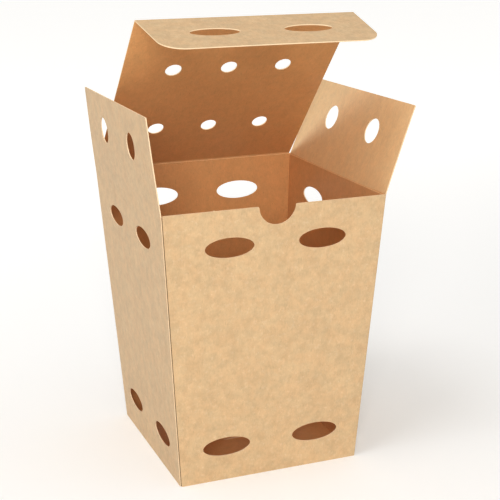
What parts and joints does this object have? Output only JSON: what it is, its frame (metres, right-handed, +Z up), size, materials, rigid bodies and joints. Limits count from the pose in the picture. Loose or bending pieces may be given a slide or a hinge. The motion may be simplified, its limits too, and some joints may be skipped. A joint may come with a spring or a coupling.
{
  "type": "tall tapered take-away carton with a hinged tuck lid",
  "caption": "Tall tapered kraft-board food carton, open at the top, with a hinged tuck lid, two dust flaps, a thumb notch and vent holes.",
  "frame": {"origin": "centre of the carton's underside", "axes": "+Z up, +X to the right seen from the front, the front wall with the thumb notch faces -Y, the lid's crease is at +Y"},
  "size_m": [0.1545, 0.1348, 0.256],
  "materials": {
    "kraft_board": "uncoated kraft paperboard"
  },
  "bodies": {
    "carton": {"carton": "kraft_board"},
    "lid": {"lid": "kraft_board"},
    "tuck_flap": {"tuck_flap": "kraft_board"},
    "left_dust_flap": {"left_dust_flap": "kraft_board"},
    "right_dust_flap": {"right_dust_flap": "kraft_board"}
  },
  "joints": [
    {"name": "lid_hinge", "type": "hinge", "parent": "carton", "child": "lid", "pos_m": [0, 0.0667, 0.16], "axis": [1, 0, 0], "range_deg": [-123.7, 44.7]},
    {"name": "tuck_hinge", "type": "hinge", "parent": "lid", "child": "tuck_flap", "pos_m": [0, -0.02477, 0.25572], "axis": [1, 0, 0], "range_deg": [-60.5, 41.5]},
    {"name": "left_dust_hinge", "type": "hinge", "parent": "carton", "child": "left_dust_flap", "pos_m": [-0.0647, 0, 0.159], "axis": [0, 1, 0], "range_deg": [-113, 6]},
    {"name": "right_dust_hinge", "type": "hinge", "parent": "carton", "child": "right_dust_flap", "pos_m": [0.0647, 0, 0.159], "axis": [0, -1, 0], "range_deg": [-97.5, 21.4]}
  ]
}
